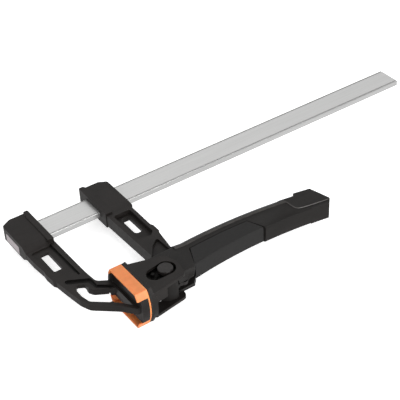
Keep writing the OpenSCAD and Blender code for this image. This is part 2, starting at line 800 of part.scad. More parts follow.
module pressure_shoe() {
    color(black) difference() {
        union() {
            along_x(shoe_face, shoe_face + shoe_rim_t) face_shape();
            along_x(shoe_face, shoe_back) intersection() {
                face_shape();
                square([far, 2 * (cheek_in + cheek_t)], center = true);
            }
            both_sides() slab(cheek_outline, cheek_in, cheek_in + cheek_t);
            translate([shoe_back - 1, spring_y - 2, -lug_half])
                cube([lug_x - shoe_back + 2.9, 4, 2 * lug_half]);
        }
        both_sides() translate([0, 0, cheek_in - 0.5]) linear_extrude(20) slot_shape();
        level([[wear_face - wear_t, pivot.y + 4.6, 0], [far, pivot.y + 4.6, 0],
               [far, pivot.y + 14.8, 0], [wear_face - wear_t, pivot.y + 14.8, 0]], 14);
        translate([lug_x, spring_y, -5]) cylinder(d = 2.2, h = 10, $fn = 24);
        translate([shoe_back - trigger_relief, pivot.y - 6.8, -cheek_in])
            cube([10, 9, 2 * cheek_in]);
    }
}

module shoe_pad() {
    color(black) along_x(jaw_gap, shoe_face) face_shape(0.2);
}

module wear_plate() {
    color(steel) level([[wear_face - wear_t, pivot.y + 4.6, 0], [wear_face, pivot.y + 4.6, 0],
        [wear_face, pivot.y + 14.8, 0], [wear_face - wear_t, pivot.y + 14.8, 0]], 14);
}

module return_spring() {
    start = lug_x + 2 * loop_r;
    end = anchor_x - 2 * loop_r;
    turns = 13;
    steps = turns * 10;
    path = [for (k = [0:steps]) let (s = k / steps, r = spring_r * min(1, 12 * s + 0.1, 12 - 12 * s + 0.1))
        [start + (end - start) * s, spring_y + r * cos(36 * k), r * sin(36 * k)]];
    color(steel) {
        wire(path, spring_wire);
        for (x = [lug_x + loop_r, anchor_x - loop_r])
            translate([x, spring_y, 0]) rotate([90, 0, 0])
                rotate_extrude($fn = 32) translate([loop_r, 0]) circle(spring_wire, $fn = 12);
    }
}

bar();
fixed_jaw();
fixed_jaw_cap();
head_roll_pins();
sliding_arm();
bite_plates();
brake_spring();
pivot_pin();
pivot_ring();
ratchet_segment();
segment_rivets();
lever_body();
grip_sleeve();
cam_plates();
cam_rivets();
pawl_pin();
pawl_spring();
pawl();
release_trigger();
pressure_shoe();
shoe_pad();
wear_plate();
return_spring();
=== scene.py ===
"""Finishes and studio for a quick release bar clamp.

The CAD parts are loaded as a fixed frame. Castings and mouldings get copies with softened edges and a few
cuts, two coils get smoothed copies, and the lever's rims, the knob's faces, the shoe's guard and a
blank label are added. Every surface gets a procedural finish.
"""

import json
import math

import bpy
from bpy.props import FloatProperty, FloatVectorProperty, PointerProperty
from mathutils import Matrix, Vector


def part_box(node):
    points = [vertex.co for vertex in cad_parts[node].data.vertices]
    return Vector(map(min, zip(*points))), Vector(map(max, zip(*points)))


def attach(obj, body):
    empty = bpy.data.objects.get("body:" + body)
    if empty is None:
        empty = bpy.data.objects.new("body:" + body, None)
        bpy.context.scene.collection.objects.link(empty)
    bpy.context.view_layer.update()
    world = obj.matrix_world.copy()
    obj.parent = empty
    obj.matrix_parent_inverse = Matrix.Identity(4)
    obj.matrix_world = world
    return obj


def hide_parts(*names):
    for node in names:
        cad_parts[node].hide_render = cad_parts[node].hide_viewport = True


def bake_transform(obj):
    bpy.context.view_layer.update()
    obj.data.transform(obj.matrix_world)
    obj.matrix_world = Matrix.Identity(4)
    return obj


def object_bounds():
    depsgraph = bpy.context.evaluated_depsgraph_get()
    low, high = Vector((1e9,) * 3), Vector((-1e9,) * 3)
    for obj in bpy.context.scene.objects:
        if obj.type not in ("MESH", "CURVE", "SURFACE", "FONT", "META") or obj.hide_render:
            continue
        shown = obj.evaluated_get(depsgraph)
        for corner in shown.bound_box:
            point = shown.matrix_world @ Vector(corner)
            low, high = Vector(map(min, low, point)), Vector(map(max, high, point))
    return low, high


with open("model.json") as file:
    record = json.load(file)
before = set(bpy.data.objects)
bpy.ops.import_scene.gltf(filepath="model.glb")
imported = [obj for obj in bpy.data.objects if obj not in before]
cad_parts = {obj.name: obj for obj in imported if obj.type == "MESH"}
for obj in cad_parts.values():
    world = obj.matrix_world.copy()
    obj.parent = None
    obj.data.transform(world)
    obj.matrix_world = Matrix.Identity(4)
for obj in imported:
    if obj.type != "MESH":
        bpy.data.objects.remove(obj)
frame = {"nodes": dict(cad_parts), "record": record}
CAD_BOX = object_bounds()
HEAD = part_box("fixed_jaw")

bl_info = {
    "name": "Quick release bar clamp",
    "version": (1, 0, 0),
    "blender": (4, 5, 0),
    "location": "View3D > Sidebar > Bar clamp",
    "description": "Finishes the parts of a quick release bar clamp and sets up its studio",
    "category": "Object",
}

MM = 0.001

# Places and lengths in the row's frame, in millimetres

# The fixed arm: windows cut right through, and grooves cut down to a floor on each side
THROUGH = 9.0
SLOT = (
    (-37.2, 57.3), (-31.2, 57.3), (-30.4, 58.1), (-30.4, 81.2),
    (-31.2, 82.0), (-37.2, 82.0), (-38.0, 81.2), (-38.0, 58.1),
)
HOLE_END = (
    (-10.0, 11.4), (-14.4, 13.9), (-17.5, 15.5), (-20.0, 10.0),
    (-20.5, 2.0), (-19.3, -1.95), (-15.2, -6.4), (-10.0, -12.6),
)
RIM_GROOVE = ((-25.4, 41.5), (-23.5, 42.5), (-24.4, 87.7), (-26.3, 86.7))
LOWER_GROOVE = (
    (-38.4, 40.1), (-37.5, 38.3), (-23.1, 30.2), (-21.9, 21.7), (-10.8, 13.5), (-9.5, 15.7),
    (-19.7, 23.2), (-19.7, 30.7), (-20.5, 33.1), (-35.2, 41.4), (-37.5, 41.6),
)
GROOVE_FLOOR = 1.3

# The recess round the pivot: its depth range, and its radius on the jaw's side and on the lever's
PIVOT = (26.8, -2.2)
RECESS = (7.4, 10.4)
RECESS_WIDE = 13.0
RECESS_NARROW = 11.0
RECESS_SPLIT = -0.1
RECESS_SIDES = 90

# The handle's rims: a section of offset and height, swept round the outer curve, with a ramp at the fork
OUTER_CENTRE = (81.5, -438.3)
OUTER_RADIUS = 460.0
RIM_FROM = (46.5, 20.0)
RIM_TO = (165.6, 14.0)
RIM_STEPS = 60
RIM_SECTION = (
    (-6.5, 7.4), (-6.0, 7.98), (-5.7, 8.12), (-5.0, 8.78), (-4.65, 8.93),
    (-4.1, 8.85), (-0.2, 6.7), (-0.1, 6.4), (-0.8, 6.0),
)
RAMP = (46.0, 56.0)
RAMP_RISE = 1.9

# The knob: the layer that is cut off each side, and the raised face that takes its place
KNOB_ROOM = ((141.0, -40.0), (195.0, -40.0), (195.0, 40.0), (141.0, 40.0))
KNOB_ABOVE = 12.0
KNOB_FLOOR = 8.0
KNOB_ROOT = 6.6
KNOB_TOP = 8.95
KNOB_EDGE = 0.8
KNOB_EDGE_STEPS = 4
KNOB_FACE = (
    (152.6, 13.2), (153.4, 10.6), (153.7, 8.7), (153.9, 5.1), (154.3, 1.4), (155.0, -1.0),
    (156.4, -2.7), (160.4, -4.2), (166.1, -5.4), (174.6, -6.9), (183.9, -8.4), (185.2, -7.6),
    (185.3, -5.9), (183.5, 1.5), (180.5, 12.3), (172.8, 13.95), (165.3, 15.5), (163.9, 13.0),
)

# The panel between the shoe's cheeks
GUARD = ((5.0, -21.0), (17.2, -19.4), (17.2, -17.7), (5.0, -19.3))
GUARD_HEIGHT = (1.2, 10.3)

# The label's middle in Y and Z, on the head's end face
LABEL_MIDDLE = (111.3, -1.3)

# How meshes are merged, rounded and shaded
SAME_POINT = 0.004
SAME_SWEPT_POINT = 0.001
SAME_HEIGHT = 0.01
FLAT_ANGLE = math.radians(0.6)
SHARP_ANGLE = math.radians(32.0)
SMOOTH_ANGLE = math.radians(35.0)
WIRE_SMOOTH_ANGLE = math.radians(50.0)
EDGE_STEPS = 3
LABEL_CORNER_STEPS = 6
FLAT_FACE_WEIGHT = 50

# A face takes the paler finish, partly wear and partly painted highlight, where it slopes this much and
# doesn't look to the bar
WEAR_AND_HIGHLIGHT_SLOPE = (0.15, 0.97)
WEAR_AND_HIGHLIGHT_TURN = 0.3

# How far the floor lies below the clamp, so that the two don't share a plane
FLOOR_GAP = 0.2

# The studio, in metres
FLOOR_SIZE = 8.0
FLOOR_MIDDLE = (0.15, 0.07)

# The Y of a direction from which on the surround that gloss sees is at its darkest
DARK_AT = -0.45

# Each lamp's name, place, size, power in watts and share of gloss. All are aimed at one point.
LAMP_TARGET = (0.05, 0.05, 0.0)
LAMPS = (
    ("overhead", (0.15, 0.35, 1.1), 0.9, 3.0, 0.3),
    ("left_side", (-0.9, 0.15, 0.35), 0.6, 2.2, 0.2),
    ("front_low", (0.1, -0.9, 0.3), 0.7, 12.0, 1.0),
)

# The camera: where it stands as seen from its target, its roll, and how far the view is moved over
CAMERA_AZIMUTH = math.radians(-33.421)
CAMERA_ELEVATION = math.radians(37.697)
CAMERA_ROLL = math.radians(-2.671)
CAMERA_DISTANCE = 0.990412
CAMERA_TARGET = (0.1691, 0.07, 0.0)
CAMERA_ASIDE = 0.048912
CAMERA_BELOW = 0.02652
CAMERA_LENS = 103.02
CAMERA_SENSOR = 36.0


# --- Sizes and colours that a user would change ---


def length(name, description, millimetres):
    """A length property with its default given in millimetres."""
    return FloatProperty(
        name=name, description=description, default=millimetres * MM, min=0.0, unit="LENGTH", precision=5
    )


def colour(name, description, value):
    """A colour property, in linear light."""
    return FloatVectorProperty(
        name=name, description=description, default=value, size=3, min=0.0, max=1.0, subtype="COLOR"
    )


def factor(name, description, value):
    """A number from 0 to 1."""
    return FloatProperty(
        name=name, description=description, default=value, min=0.0, max=1.0, subtype="FACTOR"
    )


class ClampSizes(bpy.types.PropertyGroup):
    """Edge radii and the label's sizes."""

    casting_edge: length("Casting edge", "Radius of the castings' softened edges", 0.7)
    moulding_edge: length("Moulding edge", "Radius of the lever's softened edges", 0.6)
    cap_edge: length("Cap edge", "Radius of the soft cap's edges", 0.45)
    shoe_edge: length("Shoe edge", "Radius of the pressed shoe's edges", 0.35)
    label_length: length("Label length", "Size of the blank label along Y", 22.0)
    label_width: length("Label width", "Size of the blank label along Z", 7.6)
    label_corner: length("Label corner", "Radius of the label's corners", 1.0)
    label_thickness: length("Label thickness", "Thickness of the label's paper", 0.12)


class ClampColours(bpy.types.PropertyGroup):
    """Colours of the finishes."""

    casting: colour("Casting", "Black powder coat on the castings", (0.0108, 0.0091, 0.0083))
    lever: colour("Lever", "Black nylon of the lever", (0.0103, 0.0093, 0.0086))
    grip: colour("Grip", "Soft black panel on the lever", (0.0150, 0.0146, 0.0143))
    pad: colour("Facing", "Black facing of the moving jaw", (0.0090, 0.0085, 0.0080))
    pin: colour("Pin", "Black oxide and painted shade on the pivot pin", (0.0130, 0.0110, 0.0105))
    cap: colour("Cap", "Orange soft cap", (0.66, 0.212, 0.064))
    bar: colour("Bar", "Zinc plating on the bar", (0.53, 0.53, 0.525))
    steel: colour("Steel", "Plain machined steel", (0.55, 0.55, 0.55))
    label: colour("Label", "Blank paper label", (0.37, 0.33, 0.345))


class StudioSettings(bpy.types.PropertyGroup):
    """Light levels."""

    surround: factor("Surround", "Light from the pale surround", 0.62)
    dark_side: factor("Dark side", "What gloss sees of the room on the jaws' side", 0.2)
    floor: factor("Floor", "Paleness of the floor's own colour", 0.82)
    floor_glow: factor("Floor glow", "Light that lifts the floor to white", 0.62)


# --- Small helpers ---


def deselect_all():
    """Nothing selected, in object mode."""
    if bpy.context.object and bpy.context.object.mode != "OBJECT":
        bpy.ops.object.mode_set(mode="OBJECT")
    bpy.ops.object.select_all(action="DESELECT")


def make_active(obj):
    """Select one object and make it active."""
    deselect_all()
    obj.select_set(True)
    bpy.context.view_layer.objects.active = obj


def apply_place(obj):
    """Put an object's place into its mesh."""
    make_active(obj)
    bpy.ops.object.transform_apply(location=True, rotation=True, scale=True)


def body_of(node):
    """The body that carries a CAD node."""
    for body, nodes in frame["record"]["behaviour"]["bodies"].items():
        if node in nodes:
            return body
    raise ValueError(f"no body holds {node}")


def dress(node, material):
    """Give a CAD node, or a piece that stands for it, its finish."""
    obj = frame["nodes"][node] if isinstance(node, str) else node
    obj.data.materials.clear()
    obj.data.materials.append(material)


def edit_all(piece):
    """Open one piece in edit mode with everything selected."""
    make_active(piece)
    bpy.ops.object.mode_set(mode="EDIT")
    bpy.ops.mesh.select_all(action="SELECT")


def face_outward():
    """Turn all the faces outward and leave edit mode."""
    bpy.ops.mesh.select_all(action="SELECT")
    bpy.ops.mesh.normals_make_consistent(inside=False)
    bpy.ops.object.mode_set(mode="OBJECT")


def round_edges(piece, radius):
    """Add a rounding, which the caller may set further and then applies."""
    bevel = piece.modifiers.new("Soft edges", "BEVEL")
    bevel.width = radius
    bevel.segments = EDGE_STEPS
    return bevel


def flat_section(name, points):
    """A filled outline through points in metres."""
    deselect_all()
    bpy.ops.mesh.primitive_circle_add(vertices=len(points), fill_type="NGON")
    piece = bpy.context.object
    piece.name = name
    piece.data.name = name
    for vertex, point in zip(piece.data.vertices, points):
        vertex.co = point
    return piece


def prism(name, outline, low, high):
    """A straight-sided solid over an outline in X and Y, all in millimetres."""
    piece = flat_section(name, [(x * MM, y * MM, low * MM) for x, y in outline])
    edit_all(piece)
    bpy.ops.mesh.extrude_region_move(TRANSFORM_OT_translate={"value": (0.0, 0.0, (high - low) * MM)})
    face_outward()
    return piece


def recess_outline():
    """The recess round the pivot, whose cut faces take painted shade: wider on the jaw's side, in
    millimetres.
    """
    outline = []
    for step in range(RECESS_SIDES):
        turn = 2 * math.pi * step / RECESS_SIDES
        radius = RECESS_WIDE if math.cos(turn) < RECESS_SPLIT else RECESS_NARROW
        outline.append((PIVOT[0] + radius * math.cos(turn), PIVOT[1] + radius * math.sin(turn)))
    return outline


def swept_rim(name, section, upward):
    """A rim that follows the lever's outer curve from the fork to the knob."""
    start = math.atan2(RIM_FROM[1] - OUTER_CENTRE[1], RIM_FROM[0] - OUTER_CENTRE[0])
    end = math.atan2(RIM_TO[1] - OUTER_CENTRE[1], RIM_TO[0] - OUTER_CENTRE[0])
    points = []
    for aside, height in section:
        reach = OUTER_RADIUS + aside
        x = OUTER_CENTRE[0] + reach * math.cos(start)
        y = OUTER_CENTRE[1] + reach * math.sin(start)
        points.append((x * MM, y * MM, upward * height * MM))
    piece = flat_section(name, points)
    edit_all(piece)
    centre = (OUTER_CENTRE[0] * MM, OUTER_CENTRE[1] * MM, 0.0)
    bpy.ops.mesh.spin(steps=RIM_STEPS, angle=start - end, center=centre, axis=(0.0, 0.0, 1.0))
    bpy.ops.mesh.select_all(action="SELECT")
    bpy.ops.mesh.remove_doubles(threshold=SAME_SWEPT_POINT * MM)
    face_outward()
    for vertex in piece.data.vertices:
        ramp = (RAMP[1] - vertex.co.x / MM) / (RAMP[1] - RAMP[0])
        vertex.co.z += upward * RAMP_RISE * MM * min(1.0, max(0.0, ramp))
    return piece


def raised_face(name, outline, low, high, edge, upward):
    """A raised face with rounded rims, on one side of the knob."""
    piece = prism(name, outline, *sorted((upward * low, upward * high)))
    mesh = piece.data
    for vertex in mesh.vertices:
        vertex.select = abs(vertex.co.z / MM - upward * high) < SAME_HEIGHT
    for line in mesh.edges:
        line.select = all(mesh.vertices[index].select for index in line.vertices)
    for face in mesh.polygons:
        face.select = False
    bpy.ops.object.mode_set(mode="EDIT")
    bpy.ops.mesh.select_mode(type="VERT")
    bpy.ops.mesh.select_mode(type="EDGE")
    bpy.ops.mesh.bevel(offset=edge * MM, segments=KNOB_EDGE_STEPS, affect="EDGES")
    face_outward()
    return piece


def smooth(piece):
    """Shade the rounded edges smooth and keep the broad faces flat."""
    make_active(piece)
    bpy.ops.object.shade_smooth_by_angle(angle=SMOOTH_ANGLE)
    flat = piece.modifiers.new("Flat faces", "WEIGHTED_NORMAL")
    flat.keep_sharp = True
    flat.weight = FLAT_FACE_WEIGHT
    bpy.ops.object.modifier_apply(modifier=flat.name)


def carry(piece, material, node, edge_material=None):
    """Smooth and finish an added piece, which rides with a CAD node. Its slopes take the edge finish,
    wear and painted highlight.
    """
    smooth(piece)
    dress(piece, material)
    if edge_material:
        piece.data.materials.append(edge_material)
        for face in piece.data.polygons:
            slopes = WEAR_AND_HIGHLIGHT_SLOPE[0] < abs(face.normal.z) < WEAR_AND_HIGHLIGHT_SLOPE[1]
            face.material_index = 1 if slopes and face.normal.y < WEAR_AND_HIGHLIGHT_TURN else 0
    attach(piece, body_of(node))


def cut_away(piece, cutter):
    """Cut one solid out of a piece. The cut faces take the cutter's finish."""
    make_active(piece)
    cut = piece.modifiers.new("Cut", "BOOLEAN")
    cut.operation = "DIFFERENCE"
    cut.solver = "EXACT"
    cut.material_mode = "TRANSFER"
    cut.object = cutter
    bpy.ops.object.modifier_apply(modifier=cut.name)
    mesh = cutter.data
    bpy.data.objects.remove(cutter)
    bpy.data.meshes.remove(mesh)


def cut_both_sides(name, outline, depth, material):
    """Cutters over an outline, one for each side of the clamp's middle plane."""
    cutters = []
    for low, high in (depth, (-depth[1], -depth[0])):
        cutter = prism(name, outline, low, high)
        dress(cutter, material)
        cutters.append(cutter)
    return cutters


def copied(node, name):
    """A copy of a CAD node with its loose triangles merged."""
    make_active(frame["nodes"][node])
    bpy.ops.object.duplicate()
    piece = bpy.context.object
    piece.name = name
    piece.data.name = name
    piece.parent = None
    edit_all(piece)
    bpy.ops.mesh.remove_doubles(threshold=SAME_POINT * MM)
    bpy.ops.mesh.customdata_custom_splitnormals_clear()
    bpy.ops.object.mode_set(mode="OBJECT")
    return piece


def flexing(node, name, material):
    """A smoothed copy of a spring, baked in place, which replaces it."""
    piece = copied(node, name)
    bpy.ops.object.shade_smooth_by_angle(angle=WIRE_SMOOTH_ANGLE)
    dress(piece, material)
    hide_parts(node)
    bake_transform(piece)


def softened(node, name, radius, material, edge_material=None, cutters=()):
    """A copy of a CAD node with cuts made and its edges rounded, which replaces it."""
    piece = copied(node, name)
    edit_all(piece)
    bpy.ops.mesh.dissolve_limited(angle_limit=FLAT_ANGLE)
    bpy.ops.object.mode_set(mode="OBJECT")
    dress(piece, material)
    if edge_material:
        piece.data.materials.append(edge_material)
    for cutter in cutters:
        cut_away(piece, cutter)
    make_active(piece)
    bevel = round_edges(piece, radius)
    # The rounded edges take the paler edge finish: partly wear, partly painted highlight
    bevel.material = 1 if edge_material else -1
    bevel.limit_method = "ANGLE"
    bevel.angle_limit = SHARP_ANGLE
    bevel.miter_outer = "MITER_ARC"
    bevel.use_clamp_overlap = True
    bevel.harden_normals = False
    bpy.ops.object.modifier_apply(modifier=bevel.name)
    smooth(piece)
    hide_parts(node)
    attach(piece, body_of(node))
    return piece


# --- Finishes ---


class Finish:
    """A material whose nodes read Object coordinates."""

    def __init__(self, name, base, metallic=0.0, roughness=0.5, specular=0.5):
        self.material = bpy.data.materials.get(name) or bpy.data.materials.new(name)
        self.material.use_nodes = True
        self.tree = self.material.node_tree
        self.tree.nodes.clear()
        self.shader = self.add("ShaderNodeBsdfPrincipled")
        output = self.add("ShaderNodeOutputMaterial")
        self.link(self.shader.outputs["BSDF"], output.inputs["Surface"])
        self.shader.inputs["Base Color"].default_value = (*base, 1.0)
        self.shader.inputs["Metallic"].default_value = metallic
        self.shader.inputs["Roughness"].default_value = roughness
        self.shader.inputs["Specular IOR Level"].default_value = specular
        self.place = self.add("ShaderNodeTexCoord").outputs["Object"]

    def add(self, kind):
        """A new node of one kind."""
        return self.tree.nodes.new(kind)

    def link(self, output, socket):
        """Join an output to a socket."""
        self.tree.links.new(output, socket)

    def stretched(self, scale):
        """Object coordinates, squeezed along each axis."""
        mapping = self.add("ShaderNodeMapping")
        mapping.inputs["Scale"].default_value = scale
        self.link(self.place, mapping.inputs["Vector"])
        return mapping.outputs["Vector"]

    def noise(self, feature, detail=2.0, where=None, rough=0.5):
        """Noise whose lumps are about one feature size wide."""
        node = self.add("ShaderNodeTexNoise")
        node.inputs["Scale"].default_value = 1.0 / feature
        node.inputs["Detail"].default_value = detail
        node.inputs["Roughness"].default_value = rough
        self.link(where or self.place, node.inputs["Vector"])
        return node.outputs["Fac"]

    def shades(self, factor_out, dark, light, low=0.35, high=0.65):
        """Base colour that wanders between two shades."""
        ramp = self.add("ShaderNodeValToRGB")
        ramp.color_ramp.elements[0].position = low
        ramp.color_ramp.elements[0].color = (*dark, 1.0)
        ramp.color_ramp.elements[1].position = high
        ramp.color_ramp.elements[1].color = (*light, 1.0)
        self.link(factor_out, ramp.inputs["Fac"])
        self.link(ramp.outputs["Color"], self.shader.inputs["Base Color"])

    def roughness(self, factor_out, low, high):
        """Roughness that wanders between two values."""
        node = self.add("ShaderNodeMapRange")
        node.inputs["To Min"].default_value = low
        node.inputs["To Max"].default_value = high
        self.link(factor_out, node.inputs["Value"])
        self.link(node.outputs["Result"], self.shader.inputs["Roughness"])

    def bump(self, height, depth, strength=1.0, under=None):
        """A bump of a given depth, on top of another one."""
        node = self.add("ShaderNodeBump")
        node.inputs["Distance"].default_value = depth
        node.inputs["Strength"].default_value = strength
        self.link(height, node.inputs["Height"])
        if under:
            self.link(under, node.inputs["Normal"])
        self.link(node.outputs["Normal"], self.shader.inputs["Normal"])
        return node.outputs["Normal"]


def tint(value, gain):
    """A colour made darker or lighter."""
    return tuple(min(1.0, channel * gain) for channel in value)


def powder_coat(colours):
    """Black powder coat: orange peel, fine grain, faint clouding."""
    finish = Finish("Black powder coat", colours.casting, roughness=0.46, specular=0.15)
    cloud = finish.noise(14 * MM, detail=3.0)
    finish.shades(cloud, tint(colours.casting, 0.86), tint(colours.casting, 1.18))
    finish.roughness(finish.noise(3 * MM, detail=3.0), low=0.38, high=0.56)
    peel = finish.bump(finish.noise(1.1 * MM, detail=1.0), depth=0.035 * MM, strength=0.7)
    finish.bump(finish.noise(0.28 * MM, detail=2.0), depth=0.012 * MM, strength=0.6, under=peel)
    return finish.material


def worn_and_highlit_coat(colours):
    """Powder coat on an edge, smoother and paler: partly wear from handling, partly a painted highlight.
    """
    finish = Finish("Powder coat wear and painted highlight", tint(colours.casting, 1.7), roughness=0.36, specular=0.45)
    wear = finish.noise(5 * MM, detail=3.0)
    finish.shades(wear, tint(colours.casting, 1.3), tint(colours.casting, 2.3))
    finish.roughness(finish.noise(1.5 * MM, detail=2.0), low=0.28, high=0.44)
    finish.bump(finish.noise(0.4 * MM, detail=2.0), depth=0.01 * MM, strength=0.5)
    return finish.material


def painted_recess_shade(colours):
    """Painted shade: nylon made much darker, for recesses, grooves and rivets that lie in shade."""
    dark = tint(colours.lever, 0.35)
    finish = Finish("Painted recess shade", dark, roughness=0.5, specular=0.1)
    finish.shades(finish.noise(3 * MM, detail=2.0), tint(dark, 0.8), tint(dark, 1.3))
    finish.bump(finish.noise(0.8 * MM, detail=2.0), depth=0.03 * MM, strength=0.5)
    return finish.material


def worn_and_highlit_nylon(colours):
    """Nylon polished and paler on the rims and the knob's edges: partly wear from the hand, mostly a
    painted highlight.
    """
    finish = Finish("Nylon wear and painted highlight", tint(colours.lever, 2.6), roughness=0.34, specular=0.5)
    wear = finish.noise(6 * MM, detail=3.0)
    finish.shades(wear, tint(colours.lever, 2.0), tint(colours.lever, 3.4))
    finish.roughness(finish.noise(1.5 * MM, detail=2.0), low=0.26, high=0.42)
    finish.bump(finish.noise(0.35 * MM, detail=2.0), depth=0.01 * MM, strength=0.5)
    return finish.material


def moulded_nylon(colours):
    """Glass-filled nylon: spark-eroded grain and faint flow marks."""
    finish = Finish("Black nylon", colours.lever, roughness=0.5, specular=0.13)
    flow = finish.noise(9 * MM, detail=3.0, where=finish.stretched((0.25, 1.0, 1.0)))
    finish.shades(flow, tint(colours.lever, 0.88), tint(colours.lever, 1.16))
    finish.roughness(finish.noise(2 * MM, detail=2.0), low=0.42, high=0.58)
    finish.bump(finish.noise(0.35 * MM, detail=2.0), depth=0.02 * MM, strength=0.6)
    return finish.material


def soft_grip(colours):
    """Soft over-moulding with a matte leathery grain."""
    finish = Finish("Soft grip", colours.grip, roughness=0.66, specular=0.16)
    cells = finish.add("ShaderNodeTexVoronoi")
    cells.inputs["Scale"].default_value = 1.0 / (0.7 * MM)
    finish.link(finish.place, cells.inputs["Vector"])
    finish.roughness(finish.noise(2.5 * MM, detail=2.0), low=0.58, high=0.74)
    finish.bump(cells.outputs["Distance"], depth=0.03 * MM, strength=0.5)
    return finish.material


def soft_cap(colours):
    """Orange rubbery cap, slightly mottled, with a satin skin."""
    finish = Finish("Orange cap", colours.cap, roughness=0.5, specular=0.4)
    cloud = finish.noise(6 * MM, detail=3.0)
    finish.shades(cloud, tint(colours.cap, 0.93), tint(colours.cap, 1.05))
    finish.roughness(finish.noise(1.5 * MM, detail=2.0), low=0.44, high=0.58)
    finish.bump(finish.noise(0.4 * MM, detail=2.0), depth=0.015 * MM, strength=0.6)
    finish.shader.inputs["Subsurface Weight"].default_value = 0.5
    finish.shader.inputs["Subsurface Radius"].default_value = (1.0, 0.4, 0.25)
    finish.shader.inputs["Subsurface Scale"].default_value = 4.0 * MM
    return finish.material


def facing(colours):
    """Matte black rubber facing."""
    finish = Finish("Black facing", colours.pad, roughness=0.7, specular=0.3)
    finish.roughness(finish.noise(1.5 * MM, detail=2.0), low=0.62, high=0.78)
    finish.bump(finish.noise(0.5 * MM, detail=2.0), depth=0.02 * MM, strength=0.6)
    return finish.material


def plated_bar(colours):
    """Zinc plating over drawn steel: long fine streaks along the bar and a little haze."""
    finish = Finish("Plated bar", colours.bar, metallic=0.85, roughness=0.34, specular=0.5)
    streaks = finish.noise(1.0, detail=4.0, where=finish.stretched((18.0, 1500.0, 1500.0)), rough=0.6)
    finish.shades(streaks, tint(colours.bar, 0.93), tint(colours.bar, 1.05), low=0.3, high=0.7)
    finish.roughness(finish.noise(5 * MM, detail=3.0), low=0.30, high=0.42)
    finish.bump(streaks, depth=0.004 * MM, strength=0.5)
    return finish.material


def oxide_and_shade_steel(colours):
    """Black oxide on turned steel, which on the pawl, cams, ratchet and plates inside the lever is also
    painted shade.
    """
    finish = Finish("Black oxide and painted shade", colours.pin, metallic=0.2, roughness=0.42, specular=0.3)
    cloud = finish.noise(2.5 * MM, detail=3.0)
    finish.shades(cloud, tint(colours.pin, 0.85), tint(colours.pin, 1.2))
    finish.bump(finish.noise(0.3 * MM, detail=2.0), depth=0.01 * MM, strength=0.5)
    return finish.material


def machined_steel(colours):
    """Plain ground steel with fine directional marks."""
    finish = Finish("Machined steel", colours.steel, metallic=1.0, roughness=0.3)
    marks = finish.noise(1.0, detail=3.0, where=finish.stretched((600.0, 4000.0, 600.0)))
    finish.shades(marks, tint(colours.steel, 0.85), tint(colours.steel, 1.1))
    finish.roughness(finish.noise(1.2 * MM, detail=2.0), low=0.24, high=0.4)
    finish.bump(marks, depth=0.004 * MM, strength=0.6)
    return finish.material


def spring_wire(colours):
    """Drawn wire, blackened and oiled."""
    finish = Finish("Spring wire", colours.pin, metallic=0.4, roughness=0.3)
    finish.roughness(finish.noise(0.6 * MM, detail=2.0), low=0.24, high=0.38)
    return finish.material


def label_paper(colours):
    """Blank coated paper with a faint fibre."""
    finish = Finish("Blank label", colours.label, roughness=0.45, specular=0.4)
    fibre = finish.noise(0.8 * MM, detail=3.0)
    finish.shades(fibre, tint(colours.label, 0.97), tint(colours.label, 1.02))
    finish.bump(finish.noise(0.5 * MM, detail=2.0), depth=0.006 * MM, strength=0.4)
    return finish.material


# --- Operators ---


class CLAMP_OT_bar(bpy.types.Operator):
    """Finish the bar"""

    bl_idname = "clamp.bar"
    bl_label = "Bar"

    def execute(self, context):
        dress("bar", plated_bar(context.scene.clamp_colours))
        return {"FINISHED"}


class CLAMP_OT_castings(bpy.types.Operator):
    """Cut, soften and coat the fixed jaw, and soften and coat the sliding arm"""

    bl_idname = "clamp.castings"
    bl_label = "Castings"

    def execute(self, context):
        edge = context.scene.clamp_sizes.casting_edge
        coat = powder_coat(context.scene.clamp_colours)
        # Paler edge finish: partly wear, partly painted highlight
        edge_wear_and_highlight = worn_and_highlit_coat(context.scene.clamp_colours)
        shaded = painted_recess_shade(context.scene.clamp_colours)
        cutters = []
        for outline in (HOLE_END, SLOT):
            cutter = prism("window_cutter", outline, -THROUGH, THROUGH)
            dress(cutter, coat)
            cutters.append(cutter)
        # The grooves' cut faces take painted shade
        for outline in (RIM_GROOVE, LOWER_GROOVE):
            cutters += cut_both_sides("groove_cutter", outline, (GROOVE_FLOOR, THROUGH), shaded)
        softened("fixed_jaw", "fixed_jaw_casting", edge, coat, edge_wear_and_highlight, cutters)
        softened("sliding_arm", "sliding_arm_casting", edge, coat, edge_wear_and_highlight)
        return {"FINISHED"}


class CLAMP_OT_cap(bpy.types.Operator):
    """Soften and colour the fixed jaw's slip-on cap"""

    bl_idname = "clamp.cap"
    bl_label = "Jaw cap"

    def execute(self, context):
        edge = context.scene.clamp_sizes.cap_edge
        softened("fixed_jaw_cap", "orange_cap", edge, soft_cap(context.scene.clamp_colours))
        return {"FINISHED"}


